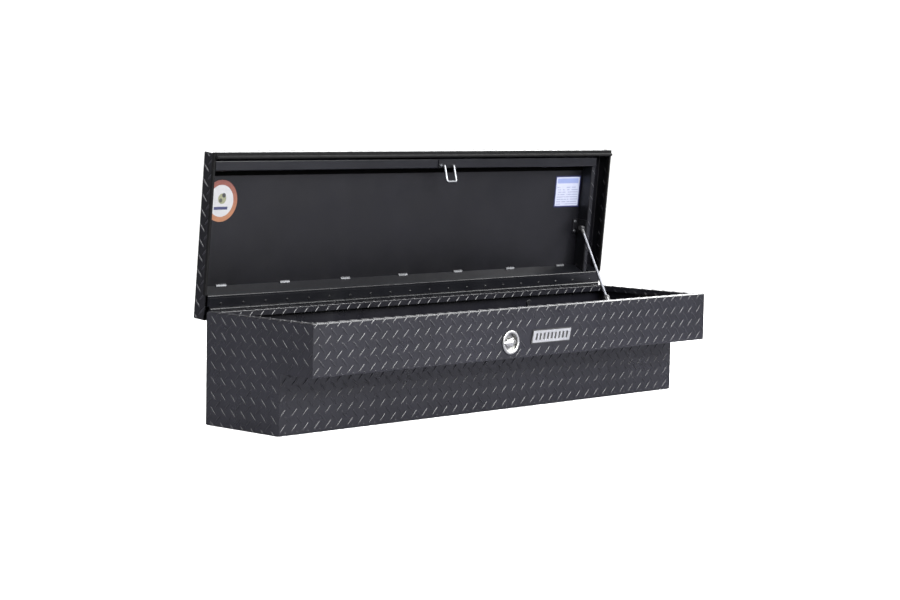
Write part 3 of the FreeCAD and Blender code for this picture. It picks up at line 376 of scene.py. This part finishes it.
class Sheet:
    """Maps flat sheet places to the bent sheet's tread side, through a path with rounded corners."""

    def __init__(self, path, radii, lay):
        """path is a list of 2-D corners with the sheet on its left, and radii rounds the inner ones.
        lay(a, b, along) turns 2-D path places and distances along the sheet into points."""
        self.lay = lay
        self.runs = []
        start = np.array(path[0], dtype=float)
        total = 0.0
        for index in range(1, len(path)):
            corner = np.array(path[index], dtype=float)
            heading = (corner - start) / np.linalg.norm(corner - start)
            if index == len(path) - 1:
                self.runs.append(("line", total, start, heading, 0.0))
                total += np.linalg.norm(corner - start)
                break
            following = np.array(path[index + 1], dtype=float) - corner
            following /= np.linalg.norm(following)
            turn = math.copysign(1.0, heading[0] * following[1] - heading[1] * following[0])
            radius = radii[index - 1]
            length = np.linalg.norm(corner - start) - radius
            self.runs.append(("line", total, start, heading, 0.0))
            total += length
            end = start + heading * length
            left = np.array((-heading[1], heading[0])) * turn
            self.runs.append(("arc", total, end + left * radius, heading, turn * radius))
            total += radius * math.pi / 2
            start = corner + following * radius
        self.length = total

    def place(self, along, s, height):
        """Points at distances along the sheet, s along its path and height off its tread side."""
        s = np.clip(s, 0, self.length)
        starts = np.array([run[1] for run in self.runs])
        which = np.clip(np.searchsorted(starts, s, side="right") - 1, 0, len(self.runs) - 1)
        a = np.empty_like(s)
        b = np.empty_like(s)
        for index, (kind, begin, origin, heading, radius) in enumerate(self.runs):
            chosen = which == index
            if not chosen.any():
                continue
            reach = s[chosen] - begin
            lift = height[chosen]
            if kind == "line":
                right = np.array((heading[1], -heading[0]))
                a[chosen] = origin[0] + heading[0] * reach + right[0] * lift
                b[chosen] = origin[1] + heading[1] * reach + right[1] * lift
            else:
                angle = reach / abs(radius)
                sign = math.copysign(1.0, radius)
                right = np.array((heading[1], -heading[0]))
                out = [right[0] * np.cos(angle) + heading[0] * np.sin(angle) * sign,
                       right[1] * np.cos(angle) + heading[1] * np.sin(angle) * sign]
                size = abs(radius) + sign * lift
                a[chosen] = origin[0] + sign * out[0] * size
                b[chosen] = origin[1] + sign * out[1] * size
        return self.lay(a, b, along)


def tread(name, sheet, along, across, body, offset=(0.0, 0.0), keep=None, flip=False):
    """Raised bars between two places along a sheet and two distances across it, on its path.

    offset shifts the pattern, keep(u, s) is false for a bar to leave out, and flip swaps the two leans.
    """
    centres = []
    for lean in (0, 1):
        first_u = along[0] + offset[0] + lean * PITCH / 2
        first_s = across[0] + offset[1] + lean * PITCH / 2
        for u in np.arange(first_u - PITCH, along[1] + PITCH, PITCH):
            for s in np.arange(first_s - PITCH, across[1] + PITCH, PITCH):
                centres.append((u, s, lean))
    points = []
    for u, s, lean in centres:
        angle = math.radians(45 if lean == 0 else -45) * (-1 if flip else 1)
        du = BAR_POINTS[:, 0] * math.cos(angle) - BAR_POINTS[:, 1] * math.sin(angle)
        ds = BAR_POINTS[:, 0] * math.sin(angle) + BAR_POINTS[:, 1] * math.cos(angle)
        bar_u = u + du
        bar_s = s + ds
        inside = (bar_u > along[0]) & (bar_u < along[1]) & (bar_s > across[0]) & (bar_s < across[1])
        if inside.sum() < FEWEST_INSIDE:
            continue
        bar_u = np.clip(bar_u, along[0], along[1])
        bar_s = np.clip(bar_s, across[0], across[1])
        if keep is not None and not keep(bar_u, bar_s):
            continue
        points.append(np.stack([bar_u, bar_s, BAR_POINTS[:, 2]], axis=1))
    flat = np.concatenate(points)
    placed = sheet.place(flat[:, 0], flat[:, 1], flat[:, 2])
    faces = []
    step = len(BAR_POINTS)
    for k in range(len(points)):
        base = k * step
        faces.extend([tuple(base + i for i in face) for face in BAR_FACES])
    finish_mesh(name, placed, faces, body, coat_lug_painted_highlight)


def finish_mesh(name, points, faces, body, material):
    """A smooth mesh object with its faces turned outward, riding on a body."""
    mesh = bpy.data.meshes.new(name)
    mesh.from_pydata([tuple(p) for p in points], [], faces)
    mesh.validate()
    obj = bpy.data.objects.new(name, mesh)
    bpy.context.scene.collection.objects.link(obj)
    mesh.materials.append(material)
    work = bmesh.new()
    work.from_mesh(mesh)
    bmesh.ops.recalc_face_normals(work, faces=work.faces)
    work.to_mesh(mesh)
    work.free()
    mesh.shade_smooth()
    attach(obj, body)


RIM = 25 * MM              # width of the box's bent-in rim
RIM_LIP = 20 * MM          # turned-down lip on the rim's inner edge
SHEET = 2 * MM
BEND = 4 * MM              # outer radius of a bend
SHORTER = 2 * BEND * (1 - math.pi / 4)     # what one rounded corner takes off a sheet's path
HEM = 18 * MM              # width of the flat-folded hem inside the lid's flanges
STRUT_CHANNEL_WIDTH = 19 * MM
LOCK_CLEAR = 40 * MM       # no bar comes nearer to the lock's axis

wrap = node_points("body_wrap")
low_part = wrap[wrap[:, 2] < 0.1]      # the bin, below the overhanging lip
y_front, y_back = wrap[:, 1].min(), wrap[:, 1].max()
y_low = low_part[:, 1].min()
height = wrap[:, 2].max()
half = wrap[:, 0].max()
end_x = node_points("right_end_plate")[:, 0].max()
shelf = mount["rail_rest"]["pos_m"][2]
wrap_path = [(y_front + RIM, height - RIM_LIP), (y_front + RIM, height), (y_front, height),
             (y_front, shelf), (y_low, shelf), (y_low, 0.0), (y_back, 0.0), (y_back, height),
             (y_back - RIM, height), (y_back - RIM, height - RIM_LIP)]
wrap_sheet = Sheet(wrap_path, [BEND, BEND, BEND, BEND - SHEET, BEND, BEND, BEND, BEND],
                   lambda a, b, along: np.stack([along, a, b], axis=1))


def clear_of_lock(u, s):
    """False for a bar under the lock's dish or the nameplate."""
    lock = joint["handle_turn"]["pos_m"]
    wall_start = RIM_LIP + RIM - 2 * SHORTER
    z = height - (s - wall_start)
    plate_low, plate_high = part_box("nameplate_backing")
    near_lock = np.hypot(u - lock[0], z - lock[2]).min() < LOCK_CLEAR
    near_plate = ((u > plate_low[0]) & (u < plate_high[0]) & (z > plate_low[2]) & (z < plate_high[2])).any()
    front = (z > shelf) & (z < height)
    return not (front.any() and (near_lock or near_plate))


tread("body_wrap_tread", wrap_sheet, (-half, half), (0.0, wrap_sheet.length), "box",
      offset=(34 * MM, 24 * MM), keep=clear_of_lock)


def end_tread(name, side):
    """Bars on an end plate, over its rim and down the rim's lip."""
    path = [(-end_x + RIM, height - RIM_LIP), (-end_x + RIM, height), (-end_x, height), (-end_x, 0.0)]

    def lay(a, b, along):
        return np.stack([a * -side, along, b], axis=1)

    sheet = Sheet(path, [BEND, BEND], lay)
    wall_start = sheet.length - height

    def on_plate(u, s):
        z = height - (s - wall_start)
        return not ((z < shelf + 2 * MM) & (u < y_low + 2 * MM)).any()

    tread(name, sheet, (y_front + 1 * MM, y_back - 1 * MM), (0.0, sheet.length - 1 * MM), "box",
          offset=(27 * MM, 20 * MM), keep=on_plate, flip=True)


end_tread("left_end_tread", -1)
end_tread("right_end_tread", 1)

pan_low, pan_high = shut_box("lid_pan")
lid_z0, lid_z1 = pan_low[2], pan_high[2]


def lid_sheet(path, radii, lay):
    """A sheet on the lid, laid out with the lid shut and swung open with it."""
    return Sheet(path, radii, lambda a, b, along: moved(lay(a, b, along), swing_open))


skin_path = [(pan_high[1], lid_z0), (pan_high[1], lid_z1), (pan_low[1], lid_z1), (pan_low[1], lid_z0)]
skin_sheet = lid_sheet(skin_path, [BEND, BEND], lambda a, b, along: np.stack([along, a, b], axis=1))
tread("lid_skin_tread", skin_sheet, (pan_low[0] + 4 * MM, pan_high[0] - 4 * MM), (0.0, skin_sheet.length),
      "lid", offset=(30 * MM, 12 * MM))


def lid_side_tread(name, side):
    """Bars on the flange at one of the lid's ends, and on the inner face of its hem."""
    outer = pan_high[0]
    hem_face = outer - 2 * SHEET

    def lay(a, b, along):
        return np.stack([a * side, along, b], axis=1)

    flange = lid_sheet([(outer, lid_z0), (outer, lid_z1 - BEND)], [], lay)
    tread(name, flange, (pan_low[1] + 4 * MM, pan_high[1] - 4 * MM), (0.0, flange.length), "lid",
          offset=(20 * MM, 10 * MM), flip=side > 0)
    hem = lid_sheet([(hem_face, lid_z0 + HEM), (hem_face, lid_z0)], [], lay)
    tread(name + "_hem", hem, (pan_low[1] + 8 * MM, pan_high[1] - 8 * MM), (0.0, hem.length), "lid",
          offset=(20 * MM, 8 * MM), flip=side < 0)


lid_side_tread("left_lid_tread", -1)
lid_side_tread("right_lid_tread", 1)

face_low, face_high = shut_box("strut_channel")
channel_face = lid_sheet([(face_low[0], lid_z0), (face_low[0] + STRUT_CHANNEL_WIDTH, lid_z0)], [],
                         lambda a, b, along: np.stack([a, along, b], axis=1))
tread("strut_channel_tread", channel_face, (face_low[1] + 3 * MM, face_high[1] - 3 * MM),
      (2 * MM, STRUT_CHANNEL_WIDTH - 2 * MM), "lid", offset=(20 * MM, 8 * MM))


# ------------------------------------------------------------------ lights, world, floor and camera
def area_light(name, place, target, width, depth, power):
    """A rectangular softbox at a place, turned towards its target."""
    data = bpy.data.lights.new(name, "AREA")
    data.shape = "RECTANGLE"
    data.size = width
    data.size_y = depth
    data.energy = power
    light = bpy.data.objects.new(name, data)
    light.location = place
    light.rotation_euler = (Vector(target) - Vector(place)).to_track_quat("-Z", "Y").to_euler()
    bpy.context.scene.collection.objects.link(light)


area_light("softbox_front", (0.5, -3.8, 2.7), (0, 0, 0.3), 4.6, 2.4, 920)
area_light("softbox_left", (-3.9, 0.2, 2.6), (-0.5, 0, 0.3), 2.6, 1.8, 270)
area_light("softbox_right", (4.2, -0.6, 2.4), (0.3, 0, 0.3), 2.4, 1.6, 170)

OUTSIDE_GLOSS = 1.15       # strength of the white world for the camera and for matt surfaces
BACKDROP = 1.2             # extra light from the backdrop behind the object
OVERHEAD = 7.5             # the bank of light above the backdrop, as the object's gloss sees it
LOW_ROOM = 0.27            # the room near the floor, as the object's gloss sees it
HIGH_ROOM = 0.08           # the same room well above the floor
BACKDROP_WAY = (0.70, 0.71, 0.0)
OVERHEAD_WAY = (0.56, 0.50, 0.66)
FLOOR_IN_GLOSS = (0.165, 0.165, 0.195)


def studio_world():
    """White world for the camera; in reflections, a low room, a backdrop and a bank of light."""
    studio = bpy.data.worlds.new("studio")
    bpy.context.scene.world = studio
    studio.use_nodes = True
    tree = studio.node_tree
    add = tree.nodes.new

    def wire(source, target):
        tree.links.new(source, target)

    def eased(value, low, high, start, end):
        node = add("ShaderNodeMapRange")
        node.interpolation_type = "SMOOTHSTEP"
        node.inputs["From Min"].default_value = low
        node.inputs["From Max"].default_value = high
        node.inputs["To Min"].default_value = start
        node.inputs["To Max"].default_value = end
        wire(value, node.inputs["Value"])
        return node.outputs["Result"]

    way = add("ShaderNodeTexCoord").outputs["Generated"]
    height_of = add("ShaderNodeSeparateXYZ")
    wire(way, height_of.inputs["Vector"])

    def towards(direction):
        node = add("ShaderNodeVectorMath")
        node.operation = "DOT_PRODUCT"
        node.inputs[1].default_value = direction
        wire(way, node.inputs[0])
        return node.outputs["Value"]

    def total(first, second):
        node = add("ShaderNodeMath")
        wire(first, node.inputs[0])
        wire(second, node.inputs[1])
        return node.outputs["Value"]

    room = total(eased(height_of.outputs["Z"], 0.05, 0.35, LOW_ROOM, HIGH_ROOM),
                 total(eased(towards(BACKDROP_WAY), 0.72, 0.97, 0.0, BACKDROP),
                       eased(towards(OVERHEAD_WAY), 0.70, 0.92, 0.0, OVERHEAD)))
    rays = add("ShaderNodeLightPath")
    level = add("ShaderNodeMix")
    level.data_type = "FLOAT"
    wire(rays.outputs["Is Glossy Ray"], level.inputs[0])
    level.inputs[2].default_value = OUTSIDE_GLOSS
    wire(room, level.inputs[3])
    wire(level.outputs[0], tree.nodes["Background"].inputs["Strength"])
    tree.nodes["Background"].inputs["Color"].default_value = (1, 1, 1, 1)


studio_world()


def paper_floor():
    """Plain pale paper, whose image in the object's gloss is toned down and slightly blue."""
    mesh = bpy.data.meshes.new("floor")
    reach = 30.0
    corners = [(x * reach, y * reach, -PROUD) for x, y in ((-1, -1), (1, -1), (1, 1), (-1, 1))]
    mesh.from_pydata(corners, [], [(0, 1, 2, 3)])
    ground = bpy.data.objects.new("floor", mesh)
    bpy.context.scene.collection.objects.link(ground)
    n = Nodes("floor_paper")
    white = n.ramp(n.noise(2.0), [(0.3, (0.88, 0.88, 0.88)), (0.7, (0.92, 0.92, 0.92))])
    rays = n.add("ShaderNodeLightPath")
    mesh.materials.append(n.put(Base_Color=n.mix(rays.outputs["Is Glossy Ray"], white, FLOOR_IN_GLOSS),
                                Roughness=0.9, Specular_IOR_Level=0.1))


paper_floor()

CAMERA_PLACE = (-5.4096, -5.1665, 0.9884)
CAMERA_YAW = math.radians(46.166)      # from the box's depth towards its length
CAMERA_DIP = math.radians(4.934)       # below the horizontal
CAMERA_ROLL = math.radians(1.0007)


def studio_camera():
    """Long lens in front of the box's left end, looking slightly down."""
    data = bpy.data.cameras.new("camera")
    data.sensor_width = 36.0
    data.lens = 92.88
    data.clip_end = 100.0
    camera = bpy.data.objects.new("camera", data)
    bpy.context.scene.collection.objects.link(camera)
    level = math.cos(CAMERA_DIP)
    forward = Vector((math.sin(CAMERA_YAW) * level, math.cos(CAMERA_YAW) * level, -math.sin(CAMERA_DIP)))
    flat_right = Vector((math.cos(CAMERA_YAW), -math.sin(CAMERA_YAW), 0.0))
    flat_up = flat_right.cross(forward)
    right = flat_right * math.cos(CAMERA_ROLL) + flat_up * math.sin(CAMERA_ROLL)
    up = flat_up * math.cos(CAMERA_ROLL) - flat_right * math.sin(CAMERA_ROLL)
    turn = Matrix((right, up, -forward)).transposed().to_4x4()
    camera.matrix_world = Matrix.Translation(CAMERA_PLACE) @ turn
    bpy.context.scene.camera = camera


studio_camera()
bpy.context.scene.view_settings.view_transform = "Standard"
